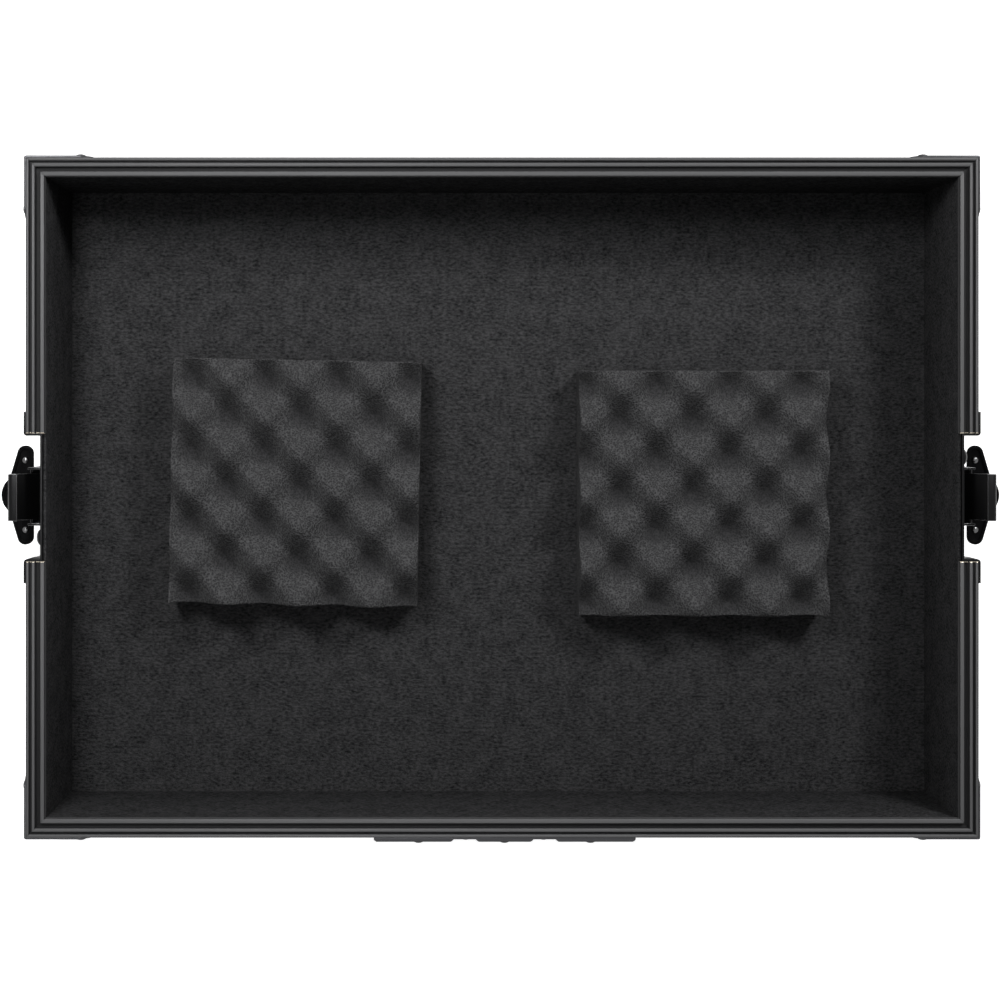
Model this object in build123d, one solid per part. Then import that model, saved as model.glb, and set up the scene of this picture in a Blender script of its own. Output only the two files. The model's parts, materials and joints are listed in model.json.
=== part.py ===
"""Half of a flight case for a disc jockey's controller: a shallow open tray with a latch at each end.

The tray stands on its closed side with the open side up. X runs along the length, Y across it,
and the origin is on the ground under the middle. All sizes are in millimetres.
"""
from build123d import *
import os
from math import cos, pi, radians, sin, sqrt

# Outside of the tray, from rail face to rail face, and the room inside it
case_length = 556.0
case_width = 397.0
inner_depth = 85.0

# Walls: sheet of the edge trim, plywood, and felt lining
trim_t = 1.2
panel_t = 7.0
lining_t = 3.0

# Ball corners carry the tray on four small flats
ball_inset = 15.0
ball_proud = 4.2
ball_wall = 1.6
ball_flat_depth = 0.4
ball_flange = 40.0
ball_flange_t = 1.5
ball_flange_round = 46.0
ball_rivet_far = 31.0
ball_rivet_near = 12.0
ball_band = 15

# Rim rail section, across the rail from its outer face and down from the rim
land_w = 2.1
groove_w = 1.1
groove_depth = 1.8
ridge_w = 2.4
seal_groove_w = 2.6
seal_groove_depth = 3.0
rail_web_t = 1.8
lip_depth = 4.2
rail_leg = 22.0
rail_inner_leg = 12.0
rail_edge_break = 0.6

# Angle trim on the other edges
angle_leg = 20.0

# Corner braces just under the rim
brace_t = 1.3
brace_leg_x = 38.0
brace_leg_y = 36.5
brace_drop = 1.5
brace_height = 31.0
brace_cut = 6.0
brace_rivet_inset = 7.0
brace_rivet_drop = 6.0

# Rivets: a shallow head on the sheet that it holds
rivet_sides = 8
rivet_crown = 0.55
rivet_r = 3.2
rivet_h = 1.4
small_rivet_r = 2.4
small_rivet_h = 1.2
rivets_per_long_side = 5
rivets_per_short_side = 4

# Latch dish: a pressed sheet that is open at the rim
dish_t = 1.2
dish_depth = 8.4
dish_clear_w = 72.0
dish_recess_h = 60.0
dish_side_flange = 14.0
dish_foot_flange = 12.0
dish_bend_r = 2.0
dish_drop = 0.5
dish_fit = 0.1

# Latch bracket: a hat section over the hook and the cam
bracket_t = 1.4
bracket_w = 34.4
bracket_rise = 10.0
bracket_top = 14.0
bracket_web_top = 21.0
bracket_end = 56.0
foot_reach = 10.0
foot_h = 12.0

# Hook plate, its crank and its lip, from the latch dish outwards and down from the rim
hook_t = 2.0
hook_w = 27.2
hook_shoe_w = 30.8
hook_gap = 0.4
hook_crank_low = 20.0
hook_crank_high = 5.0
hook_reach = 18.5
hook_lip = 5.8
hook_above_rim = 3.0
hook_tail = 52.0
hook_bend_r = 2.0
hook_throw = 9.0

# Spindle with its crank pin, which runs in the hook's cross slot
spindle_drop = 38.0
spindle_r = 5.0
spindle_fit = 0.06
cam_r = 9.0
crank_pin_r = 3.0
crank_slot_play = 1.15
head_r = 8.0
head_t = 0.6
disc_sides = 32
ear_r = 2.8
ear_inner = 4.0
ear_w = 3.6

# Butterfly wing, which stands out from the spindle on its hinge pin
wing_t = 2.6
wing_sheet = 1.5
wing_rim = 1.8
wing_root = 1.5
wing_tip_r = 4.7
wing_tip_h = 8.3
wing_span = 59.6
wing_peak = 28.6
wing_thumb_r = 12.6
wing_thumb_out = 18.0
wing_dimple_v = 21.0
wing_dimple_out = 16.4
wing_dimple_r = 2.0
wing_dimple_h = 0.8
wing_pin_r = 1.2
wing_pin_fit = 0.07
wing_pin_out = 13.0

# Locating stud in the dish, beside the hook
stud_r = 5.0
stud_h = 3.0
stud_waist = 0.6
stud_shoulder_r = 3.4
stud_top_r = 1.6
stud_sides = 16
stud_side = 23.5
stud_drop = 6.5

# Handle plate on the front: flange, dish and three raised rivet pads at its top edge
handle_x = 1.5
plate_length = 153.0
plate_drop = 1.5
plate_bottom = 75.0
bowl_length = 112.0
bowl_top = 26.0
bowl_bottom = 67.0
bowl_round = 4.0
pad_long = 46.4
pad_short = 33.3
pad_spacing = 53.2
pad_t = 1.4
pad_h = 10.0
pad_bevel = 1.5
pad_bevel_depth = 1.0
handle_rivet_pitch = 50.4
handle_rivet_drop = 5.0
handle_rivet_h = 1.6
gap_rivet_pitch = 45.6

# Bail with a rubber grip on a sprung pivot
pivot_drop = 34.5
pivot_out = 6.4
pivot_pin_r = 2.0
pivot_fit = 0.08
barrel_r = 5.2
barrel_bore_r = 4.1
barrel_l = 13.0
barrel_wall = 1.6
barrel_gap = 0.6
spring_play = 0.3
spring_sides = 20
bail_r = 3.0
bail_arm = 25.0
bail_bend = 7.0
bail_bend_runs = 3
bail_sides = 12
grip_r = 5.4
grip_waist_r = 4.8
grip_end_break = 1.0
grip_sides = 20
grip_shoulder = 19.8
grip_length = 66.0

# Foam pads: egg-crate blocks, whose top is ridges along one diagonal crossed by lower waves
foam_x = 152.0
foam_y = 150.0
foam_mean = 30.0
foam_swing = 10.0
foam_pitch = 44.6
foam_ridge_share = 0.62
foam_step = 8.0
foam_from_wall = 141.8
left_foam_y = 7.0
left_foam_turn = -1.1
left_foam_phase = (2.6, -4.6)
right_foam_y = 0.4
right_foam_phase = (-6.0, -1.9)

# How far a cut runs past what it cuts, and how near counts as touching when edges are picked
cut_past = 1.0
touch = 0.01

# Levels and half sizes that follow from the sizes above
half_l = case_length / 2
half_w = case_width / 2
rail_w = trim_t + panel_t + lining_t
trim_z = ball_proud - ball_flat_depth
panel_z = trim_z + trim_t
deck_z = panel_z + panel_t
floor_z = deck_z + lining_t
rim_z = floor_z + inner_depth
slot_drop = seal_groove_depth + rail_web_t
panel_x = half_l - trim_t
panel_y = half_w - trim_t
dish_x = half_l - dish_depth
dish_cut = dish_clear_w / 2 + dish_t + dish_fit
dish_cut_drop = dish_recess_h + dish_t + dish_fit
bowl_y = -(half_w - dish_depth)

SIDES = {
    "front": (Vector(0, -1, 0), half_w, half_l),
    "rear": (Vector(0, 1, 0), half_w, half_l),
    "left": (Vector(-1, 0, 0), half_l, half_w),
    "right": (Vector(1, 0, 0), half_l, half_w),
}
CORNERS = {"rear_right": (1, 1), "rear_left": (-1, 1), "front_right": (1, -1), "front_left": (-1, -1)}
ENDS = {"right": 0, "left": 180}


def block(x0, x1, y0, y1, z0, z1):
    """A box between two opposite corners."""
    return Pos((x0 + x1) / 2, (y0 + y1) / 2, (z0 + z1) / 2) * Box(abs(x1 - x0), abs(y1 - y0), abs(z1 - z0))


def latch_block(out0, out1, v0, v1, drop0, drop1):
    """A box placed from the latch dish outwards, along the wall, and down from the rim."""
    return block(dish_x + out0, dish_x + out1, v0, v1, rim_z - drop0, rim_z - drop1)


def save(name, shape):
    """Write one named piece or group of like pieces."""
    export_step(shape, f"parts/{name}.step")


def side_plane(side, z):
    """A section plane on a side: x runs inwards from the rail's outer face, y up, z along the side."""
    outward, distance, _ = SIDES[side]
    inward = outward * -1
    along = inward.cross(Vector(0, 0, 1))
    return Plane(origin=outward * distance + Vector(0, 0, z), x_dir=inward, z_dir=along)


def mitre(side, width):
    """The share of the tray's outline that belongs to one side, with 45 degree ends."""
    outward, distance, half = SIDES[side]
    along = (outward * -1).cross(Vector(0, 0, 1))
    outer = [outward * distance + along * (sign * half) for sign in (-1, 1)]
    inner = [outward * (distance - width) + along * (sign * (half - width)) for sign in (1, -1)]
    return extrude(make_face(Polyline(*outer, *inner, close=True)), 2 * rim_z, dir=(0, 0, 1))


def run_along(side, z, section, start, end):
    """A section drawn on a side's plane, run along that side."""
    return side_plane(side, z) * Pos(0, 0, start) * extrude(section, end - start, dir=(0, 0, 1))


def from_facets(facets):
    """A solid closed by flat facets, each given by its corner points."""
    return Solid(Shell([Face(Wire.make_polygon(points)) for points in facets]))


def turned(stations, sides):
    """A body turned about Z in flat facets, through stations of height and radius."""
    angles = [2 * pi * number / sides for number in range(sides)]
    rings = [[Vector(radius * cos(angle), radius * sin(angle), height) for angle in angles]
             for height, radius in stations]
    facets = [tuple(reversed(rings[0])), tuple(rings[-1])]
    for low, high in zip(rings, rings[1:]):
        for number in range(sides):
            after = (number + 1) % sides
            facets.append((low[number], low[after], high[after], high[number]))
    return from_facets(facets)


def head(radius, height):
    """A rivet head that sits on the XY plane and leans in to its crown."""
    return turned([(0, radius), (height, radius * rivet_crown)], rivet_sides)


def ball(radius):
    """A ball about the origin, in bands of flat facets, with a small flat at each pole."""
    angles = [radians(ball_band * (number + 0.5)) for number in range(round(180 / ball_band))]
    return turned([(-radius * cos(angle), radius * sin(angle)) for angle in angles], round(360 / ball_band))


def facing(outward, point):
    """A place at a point whose local z looks along an outward direction."""
    return Plane(origin=point, z_dir=outward).location


def at_corner(shape, signs):
    """A piece made at the rear right corner, mirrored to another corner."""
    across, along = signs
    if across < 0:
        shape = mirror(shape, about=Plane.YZ)
    if along < 0:
        shape = mirror(shape, about=Plane.XZ)
    return shape


def spaced(count, half, margin):
    """Evenly spaced places between two ends, with a margin at each end."""
    step = 2 * (half - margin) / (count - 1)
    return [margin - half + step * number for number in range(count)]


# Wooden shell
def ball_centre():
    """Centre of the rear right ball corner."""
    return Pos(half_l - ball_inset, half_w - ball_inset, trim_z + ball_inset)


def corner_cut():
    """What a ball corner takes off the rear right corner of the wood and the trim."""
    cube = block(half_l - ball_inset, half_l + cut_past, half_w - ball_inset, half_w + cut_past,
                 trim_z - cut_past, trim_z + ball_inset)
    return cube - ball_centre() * ball(ball_inset + ball_proud - ball_wall)


def trim_corners(shape):
    """Take all four ball corners off a piece."""
    cut = corner_cut()
    for signs in CORNERS.values():
        shape -= at_corner(cut, signs)
    return shape


def make_shell():
    """Floor and walls of plywood, with room for the latch dishes and the handle's bowl."""
    wall_top = rim_z - slot_drop
    save("floor_panel", trim_corners(block(-panel_x, panel_x, -panel_y, panel_y, panel_z, deck_z)))
    inner_y = panel_y - panel_t
    inner_x = panel_x - panel_t
    wall = trim_corners(block(-panel_x, panel_x, inner_y, panel_y, deck_z, wall_top))
    save("rear_panel", wall)
    bowl_cut = block(
        handle_x - bowl_length / 2 - dish_t - dish_fit, handle_x + bowl_length / 2 + dish_t + dish_fit,
        -half_w, -inner_y, rim_z - bowl_bottom - dish_t - dish_fit, rim_z - bowl_top + dish_t + dish_fit,
    )
    save("front_panel", mirror(wall, about=Plane.XZ) - bowl_cut)
    end_wall = block(inner_x, panel_x, -inner_y, inner_y, deck_z, wall_top)
    end_wall -= block(inner_x, panel_x, -dish_cut, dish_cut, rim_z - dish_cut_drop, rim_z)
    for side, turn in ENDS.items():
        save(f"{side}_panel", Rot(0, 0, turn) * end_wall)


def make_lining():
    """Felt on the floor and the walls, thinned behind the dishes and under the rail's inner leg."""
    inner_x = panel_x - panel_t
    inner_y = panel_y - panel_t
    felt_top = rim_z - lip_depth
    leg_low = rim_z - rail_inner_leg
    save("floor_lining", block(-inner_x, inner_x, -inner_y, inner_y, deck_z, floor_z))
    wall = block(-inner_x, inner_x, inner_y - lining_t, inner_y, floor_z, felt_top)
    wall -= block(-inner_x, inner_x, inner_y - trim_t, inner_y, leg_low, felt_top)
    for sign in (-1, 1):
        low, high = sorted((sign * (inner_x - trim_t), sign * inner_x))
        wall -= block(low, high, inner_y - lining_t, inner_y, leg_low, felt_top)
    save("rear_lining", wall)
    bowl_back = -bowl_y - dish_t
    bowl_relief = block(
        handle_x - bowl_length / 2 - dish_t - dish_fit, handle_x + bowl_length / 2 + dish_t + dish_fit,
        -inner_y, -bowl_back, rim_z - bowl_bottom - dish_t - dish_fit, rim_z - bowl_top + dish_t + dish_fit,
    )
    save("front_lining", mirror(wall, about=Plane.XZ) - bowl_relief)
    end_half = inner_y - lining_t
    end_felt = block(inner_x - lining_t, inner_x, -end_half, end_half, floor_z, felt_top)
    end_felt -= block(inner_x - trim_t, inner_x, -end_half, end_half, leg_low, felt_top)
    end_felt -= block(dish_x - dish_t, inner_x, -dish_cut, dish_cut, rim_z - dish_cut_drop, rim_z)
    for side, turn in ENDS.items():
        save(f"{side}_lining", Rot(0, 0, turn) * end_felt)


# Metal edges
def rail_section():
    """Rim rail: land, groove, ridge, seal groove and lip on top, and a slot for the panel below."""
    ridge_out = land_w + groove_w
    ridge_in = ridge_out + ridge_w
    groove_in = ridge_in + seal_groove_w
    slot_in = trim_t + panel_t
    points = [
        (0, 0), (land_w, 0), (land_w, -groove_depth), (ridge_out, -groove_depth), (ridge_out, 0),
        (ridge_in, 0), (ridge_in, -seal_groove_depth), (groove_in, -seal_groove_depth), (groove_in, 0),
        (rail_w, 0), (rail_w, -lip_depth), (slot_in + trim_t, -lip_depth),
        (slot_in + trim_t, -rail_inner_leg), (slot_in, -rail_inner_leg), (slot_in, -slot_drop),
        (trim_t, -slot_drop), (trim_t, -rail_leg), (0, -rail_leg),
    ]
    face = make_face(Polyline(*points, close=True))
    top = face.vertices().filter_by(lambda vertex: abs(vertex.Y) < touch)
    return chamfer(top, rail_edge_break)


def angle_section():
    """Edge trim: one leg on the wall and one under the floor."""
    upright = Pos(trim_t / 2, angle_leg / 2) * Rectangle(trim_t, angle_leg)
    foot = Pos(angle_leg / 2, trim_t / 2) * Rectangle(angle_leg, trim_t)
    return upright + foot


def make_trim():
    """Rim rails, edge angles at the floor, and upright angles at the corners."""
    rail = rail_section()
    for side in ("front", "rear"):
        save(f"{side}_rim_rail", run_along(side, rim_z, rail, -half_l, half_l) & mitre(side, rail_w))
    for side in ENDS:
        whole = run_along(side, rim_z, rail, -half_w, half_w) & mitre(side, rail_w)
        for place, sign in (("front", -1), ("rear", 1)):
            kept = block(-half_l, half_l, sign * dish_cut, sign * half_w, 0, rim_z)
            save(f"{side}_{place}_rim_rail", whole & kept)
    for side, (_, _, half) in SIDES.items():
        angle = run_along(side, trim_z, angle_section(), -half, half) & mitre(side, angle_leg)
        save(f"{side}_edge_angle", trim_corners(angle))
    low = trim_z + angle_leg
    high = rim_z - rail_leg
    post = block(half_l - angle_leg, half_l, half_w - trim_t, half_w, low, high)
    post += block(half_l - trim_t, half_l, half_w - angle_leg, half_w, low, high)
    for corner, signs in CORNERS.items():
        save(f"{corner}_corner_angle", at_corner(post, signs))


def make_braces():
    """Bent plates that tie the rim rail to the upright angle at each corner."""
    high = rim_z - brace_drop
    low = high - brace_height
    outline_x = [
        (0, low), (brace_leg_x - brace_cut, low), (brace_leg_x, low + brace_cut),
        (brace_leg_x, high - brace_cut), (brace_leg_x - brace_cut, high), (0, high),
    ]
    outline_y = [
        (0, low), (brace_leg_y - brace_cut, low), (brace_leg_y, low + brace_cut),
        (brace_leg_y, high - brace_cut), (brace_leg_y - brace_cut, high), (0, high),
    ]
    long_leg = make_face(Polyline(*[(half_l - run, half_w, z) for run, z in outline_x], close=True))
    short_leg = make_face(Polyline(*[(half_l, half_w - run, z) for run, z in outline_y], close=True))
    post = block(half_l - trim_t, half_l + brace_t, half_w - trim_t, half_w + brace_t, low, high)
    edge = post.edges().filter_by(Axis.Z).sort_by(lambda item: item.center().X + item.center().Y)[-1]
    bend = fillet(edge, brace_t) - block(0, half_l, 0, half_w, low, high)
    plate = extrude(long_leg, brace_t, dir=(0, 1, 0)) + extrude(short_leg, brace_t, dir=(1, 0, 0)) + bend
    for corner, signs in CORNERS.items():
        save(f"{corner}_brace", at_corner(plate, signs))


def make_ball_corners():
    """Pressed corners with a ball bulge and three round flanges."""
    far = ball_flange
    hull = block(half_l - far, half_l + ball_flange_t, half_w - far, half_w + ball_flange_t,
                 trim_z - ball_flange_t, trim_z + far)
    hull &= Pos(half_l, half_w, trim_z) * ball(ball_flange_round)
    cube = block(half_l - ball_inset, half_l + ball_proud, half_w - ball_inset, half_w + ball_proud,
                 trim_z - ball_proud, trim_z + ball_inset)
    flanges = hull - cube - block(0, half_l, 0, half_w, trim_z, rim_z)
    inside = block(0, half_l, 0, half_w, trim_z, rim_z) - cube
    bulge = ball_centre() * (ball(ball_inset + ball_proud) - ball(ball_inset + ball_proud - ball_wall))
    shell = flanges + (bulge - inside)
    shell -= block(0, half_l + far, 0, half_w + far, -ball_proud, 0)
    for corner, signs in CORNERS.items():
        save(f"{corner}_ball_corner", at_corner(shell, signs))


# Rivets of the case itself
def make_case_rivets():
    """Rivet heads on the trim, the braces and the ball corners."""
    rivet = head(rivet_r, rivet_h)
    on_angle = Vector(0, 0, trim_z + angle_leg / 2)
    on_rail = Vector(0, 0, rim_z - rail_leg / 2 - rivet_r)
    counts = {"front": rivets_per_long_side, "rear": rivets_per_long_side}
    kept_clear = {"front": plate_length / 2, "rear": 0, "left": dish_clear_w / 2, "right": dish_clear_w / 2}
    heads = []
    for side, (outward, distance, half) in SIDES.items():
        along = (outward * -1).cross(Vector(0, 0, 1))
        middle = handle_x if side == "front" else 0
        clear = kept_clear[side] + dish_side_flange + rivet_r
        for place in spaced(counts.get(side, rivets_per_short_side), half, ball_flange + angle_leg):
            spot = outward * distance + along * place
            heads.append(facing(outward, spot + on_angle) * rivet)
            if abs(place - middle) > clear:
                heads.append(facing(outward, spot + on_rail) * rivet)
    save("trim_rivets", Compound(heads))

    brace_heads = []
    ball_heads = []
    high = rim_z - brace_drop - brace_rivet_drop
    low = rim_z - brace_drop - brace_height + brace_rivet_drop
    right, rear, down = Vector(1, 0, 0), Vector(0, 1, 0), Vector(0, 0, -1)
    for signs in CORNERS.values():
        for z in (low, high):
            on_x = facing(rear, (half_l - brace_leg_x + brace_rivet_inset, half_w + brace_t, z)) * rivet
            on_y = facing(right, (half_l + brace_t, half_w - brace_leg_y + brace_rivet_inset, z)) * rivet
            brace_heads += [at_corner(on_x, signs), at_corner(on_y, signs)]
        for one, two in ((ball_rivet_far, ball_rivet_near), (ball_rivet_near, ball_rivet_far)):
            spots = [
                facing(right, (half_l + ball_flange_t, half_w - one, trim_z + two)),
                facing(rear, (half_l - one, half_w + ball_flange_t, trim_z + two)),
                facing(down, (half_l - one, half_w - two, trim_z - ball_flange_t)),
            ]
            ball_heads += [at_corner(spot * rivet, signs) for spot in spots]
    save("brace_rivets", Compound(brace_heads))
    save("ball_corner_rivets", Compound(ball_heads))


# Butterfly latches
def dish_section(level):
    """Bent sheet of the latch dish, cut across, with its flange at a height over the dish's bottom."""
    clear = dish_clear_w / 2
    reach = clear + dish_side_flange
    points = [
        (level + dish_t, reach), (level + dish_t, clear), (0, clear), (0, -clear), (level + dish_t, -clear),
        (level + dish_t, -reach), (level, -reach), (level, -clear - dish_t), (-dish_t, -clear - dish_t),
        (-dish_t, clear + dish_t), (level, clear + dish_t), (level, reach),
    ]
    face = make_face(Polyline(*points, close=True))
    mouth = face.vertices().filter_by(lambda vertex: abs(abs(vertex.Y) - clear) < touch and vertex.X > level)
    return fillet(mouth, dish_bend_r)


def latch_dish():
    """Pressed dish: its flange steps from the rail's leg down onto the panel."""
    on_rail = dish_depth
    on_panel = dish_depth - trim_t
    step = rail_leg + dish_t
    reach = dish_clear_w / 2 + dish_side_flange
    foot = dish_recess_h + dish_foot_flange
    base = Pos(dish_x, 0, 0)
    upper = extrude(dish_section(on_rail), step - dish_drop, dir=(0, 0, 1))
    lower = extrude(dish_section(on_panel), dish_recess_h - rail_leg, dir=(0, 0, 1))
    dish = base * Pos(0, 0, rim_z - step) * upper
    dish += base * Pos(0, 0, rim_z - dish_recess_h) * lower
    dish += latch_block(-dish_t, on_panel, -dish_clear_w / 2 - dish_t, dish_clear_w / 2 + dish_t,
                        dish_recess_h, dish_recess_h + dish_t)
    dish += latch_block(on_panel, on_panel + dish_t, -reach, reach, dish_recess_h, foot)
    corners = dish.edges().filter_by(Axis.X).filter_by(lambda item: item.center().Z < rim_z - foot + touch)
    return fillet(corners, dish_side_flange / 2)


def latch_bracket():
    """Hat section with two riveted feet, open at both ends, that holds the spindle."""
    half = bracket_w / 2
    bracket = latch_block(bracket_rise - bracket_t, bracket_rise, -half, half, bracket_web_top, bracket_end)
    for sign in (-1, 1):
        inner = sign * (half - bracket_t)
        bracket += latch_block(0, bracket_rise, inner, sign * half, bracket_top, bracket_end)
        for low in (bracket_end, bracket_web_top + foot_h):
            bracket += latch_block(0, bracket_t, sign * half, sign * (half + foot_reach), low - foot_h, low)
    shaft = spindle_axis(0) * Cylinder(spindle_r + spindle_fit, 2 * bracket_rise)
    return bracket - shaft


def spindle_axis(out):
    """A place on the spindle's axis whose local z looks out of the dish."""
    return Pos(dish_x + out, 0, rim_z - spindle_drop) * Rot(0, 90, 0)


def disc(out0, out1, radius, rise=0.0):
    """A round slice of the spindle between two heights over the dish, moved up along the wall by rise."""
    place = Pos(0, 0, rise) * spindle_axis((out0 + out1) / 2)
    return place * Cylinder(radius, out1 - out0)


def facet_disc(out0, out1, radius):
    """A slice of the spindle that nothing runs against, in flat facets."""
    return spindle_axis(out0) * turned([(0, radius), (out1 - out0, radius)], disc_sides)


def latch_spindle():
    """Cam disc with a crank pin below it, a shaft through the bracket, and a fork for the wing."""
    hook_top = hook_gap + hook_t
    cam_top = bracket_rise - bracket_t - hook_gap
    head_low = bracket_rise + hook_gap / 2
    head_top = head_low + head_t
    crank = hook_throw / 2
    spindle = facet_disc(hook_top + hook_gap, cam_top, cam_r)
    spindle += disc(hook_gap, hook_top + hook_gap, crank_pin_r, -crank)
    spindle += disc(cam_top, head_low, spindle_r)
    spindle += facet_disc(head_low, head_top, head_r)
    for sign in (-1, 1):
        low, high = sorted((sign * ear_inner, sign * (ear_inner + ear_w)))
        spindle += latch_block(head_top, wing_pin_out, low, high, spindle_drop - ear_r, spindle_drop + ear_r)
        eye = Pos(dish_x + wing_pin_out, (low + high) / 2, rim_z - spindle_drop) * Rot(90, 0, 0)
        spindle += eye * Cylinder(ear_r, high - low)
    return spindle - pin_bar(wing_pin_r, 2 * (ear_inner + ear_w))


def pin_bar(radius, length):
    """A bar on the wing's hinge axis."""
    return Pos(dish_x + wing_pin_out, 0, rim_z - spindle_drop) * Rot(90, 0, 0) * Cylinder(radius, length)


def latch_hook():
    """Cranked plate: a wide shoe with a cross slot, a step outwards, and a lip turned back at the rim."""
    mid = hook_t / 2
    path = [
        (hook_gap + mid, -hook_tail), (hook_gap + mid, -hook_crank_low), (hook_reach - mid, -hook_crank_high),
        (hook_reach - mid, hook_above_rim - mid), (hook_reach - hook_lip, hook_above_rim - mid),
    ]
    plane = Plane(origin=(dish_x, hook_w / 2, rim_z), x_dir=(1, 0, 0), z_dir=(0, -1, 0))
    band = plane * extrude(trace(FilletPolyline(*path, radius=hook_bend_r), line_width=hook_t), hook_w)
    shoe = latch_block(hook_gap, hook_gap + hook_t, -hook_shoe_w / 2, hook_shoe_w / 2,
                       bracket_web_top + hook_bend_r, hook_tail)
    crank = hook_throw / 2
    slot_r = crank_pin_r + crank_slot_play
    slot = SlotOverall(2 * (crank + slot_r), 2 * slot_r)
    cut = Pos(0, 0, -crank) * spindle_axis(0) * Rot(0, 0, 90) * extrude(slot, hook_gap + 2 * hook_t)
    return band + shoe - cut


def wing_outline(inset):
    """Butterfly outline along the wall and out of the dish, drawn in by inset all round."""
    half = wing_span / 2 - inset
    low = wing_pin_out - wing_root
    slope = (wing_peak - low - wing_tip_h) / (wing_span / 2)
    drawn_in = inset * sqrt(1 + slope**2)
    shoulder = wing_peak - slope * half - drawn_in
    points = [
        (-half, low + inset), (half, low + inset), (half, shoulder),
        (0, wing_peak - drawn_in), (-half, shoulder),
    ]
    body = make_face(Polyline(*points, close=True))
    body = fillet(body.vertices().filter_by(lambda vertex: abs(vertex.X) > 1), wing_tip_r - inset)
    thumb_r = wing_thumb_r - inset
    thumb = Pos(0, wing_thumb_out) * Circle(thumb_r)
    thumb &= Pos(0, wing_thumb_out + thumb_r) * Rectangle(4 * thumb_r, 2 * thumb_r)
    return body + thumb


def latch_wing():
    """Pressed wing with a raised rim, two dimples, and a tongue between the spindle's ears."""
    plane = Plane(origin=(dish_x, 0, rim_z - spindle_drop), x_dir=(0, -1, 0), z_dir=(0, 0, 1))
    wing = plane * Pos(0, 0, -wing_t / 2) * extrude(wing_outline(0), wing_t, dir=(0, 0, 1))
    ear_room = ear_r + hook_gap
    pocket = wing_outline(wing_rim)
    kept_w = 2 * (ear_inner + ear_w) + 4 * wing_rim
    pocket -= Pos(0, wing_pin_out) * Rectangle(kept_w, 2 * (ear_room + wing_rim))
    top = plane * Pos(0, 0, wing_sheet - wing_t / 2) * extrude(pocket, wing_t, dir=(0, 0, 1))
    wing -= top
    for sign in (-1, 1):
        centre = sign * (ear_inner + ear_w / 2)
        room = Pos(centre, wing_pin_out) * Rectangle(ear_w + 2 * hook_gap, 2 * ear_room)
        wing -= plane * Pos(0, 0, -wing_t) * extrude(room, 2 * wing_t, dir=(0, 0, 1))
        bump = plane * Pos(sign * wing_dimple_v, wing_dimple_out, wing_sheet - wing_t / 2)
        wing += bump * head(wing_dimple_r, wing_dimple_h)
    return wing - pin_bar(wing_pin_r + wing_pin_fit, ear_inner * 2)


def make_latches():
    """Both latches: the left one is the right one turned half round."""
    stations = [(0, stud_r), (stud_h * stud_waist, stud_shoulder_r), (stud_h, stud_top_r)]
    stud_form = turned(stations, stud_sides)
    stud = facing(Vector(1, 0, 0), (dish_x, stud_side, rim_z - stud_drop)) * stud_form
    rivet = head(small_rivet_r, small_rivet_h)
    out = Vector(1, 0, 0)
    foot_v = bracket_w / 2 + foot_reach / 2
    heads = []
    for sign in (-1, 1):
        for low in (bracket_end, bracket_web_top + foot_h):
            heads.append(facing(out, (dish_x + bracket_t, sign * foot_v, rim_z - low + foot_h / 2)) * rivet)
        edge = sign * (dish_clear_w + dish_side_flange) / 2
        heads.append(facing(out, (half_l + dish_t, edge, rim_z - rail_leg / 2)) * rivet)
        heads.append(facing(out, (half_l, edge, rim_z - dish_recess_h + dish_foot_flange)) * rivet)
    pieces = {
        "latch_dish": latch_dish(),
        "latch_bracket": latch_bracket(),
        "latch_spindle": latch_spindle(),
        "latch_hook": latch_hook(),
        "latch_wing": latch_wing(),
        "wing_pin": pin_bar(wing_pin_r, 2 * (ear_inner + ear_w)),
        "locating_stud": stud,
        "latch_rivets": Compound(heads),
    }
    for side, turn in ENDS.items():
        for name, piece in pieces.items():
            save(f"{side}_{name}", Rot(0, 0, turn) * piece)


# Handle on the front
def handle_plate():
    """Pressed plate with a bowl; its flange steps off the rail's leg and has three raised rivet pads."""
    half = plate_length / 2
    face_y = -half_w
    plate = block(-half, half, face_y - dish_t, face_y, rim_z - rail_leg - dish_t, rim_z - plate_drop)
    plate += block(-half, half, face_y, face_y + trim_t, rim_z - plate_bottom, rim_z - rail_leg)
    outer = block(-bowl_length / 2 - dish_t, bowl_length / 2 + dish_t, face_y, bowl_y + dish_t,
                  rim_z - bowl_bottom - dish_t, rim_z - bowl_top + dish_t)
    plate += outer
    bowl = block(-bowl_length / 2, bowl_length / 2, face_y - 2 * dish_t, bowl_y,
                 rim_z - bowl_bottom, rim_z - bowl_top)
    bowl = fillet(bowl.edges().filter_by(Axis.Y), bowl_round)
    plate -= bowl
    corners = plate.edges().filter_by(Axis.Y).filter_by(
        lambda item: abs(item.center().X) > half - touch and item.center().Z < rim_z - plate_bottom + touch)
    plate = fillet(corners, bowl_round)
    for centre, length in ((-pad_spacing, pad_long), (0, pad_short), (pad_spacing, pad_long)):
        top = rim_z - plate_drop
        raised = block(centre - length / 2, centre + length / 2, face_y - dish_t - pad_t, face_y - dish_t,
                       top - pad_h, top)
        ends = raised.edges().filter_by(Axis.Z).sort_by(Axis.Y)[:2]
        plate += chamfer(ends, pad_bevel_depth, pad_bevel)
    plate -= pivot_bar(pivot_pin_r, bowl_length + 2 * dish_t)
    return plate


def pivot_bar(radius, length):
    """A bar on the handle's pivot axis, before the handle is moved to its place."""
    return Pos(0, bowl_y - pivot_out, rim_z - pivot_drop) * Rot(0, 90, 0) * Cylinder(radius, length)


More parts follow.
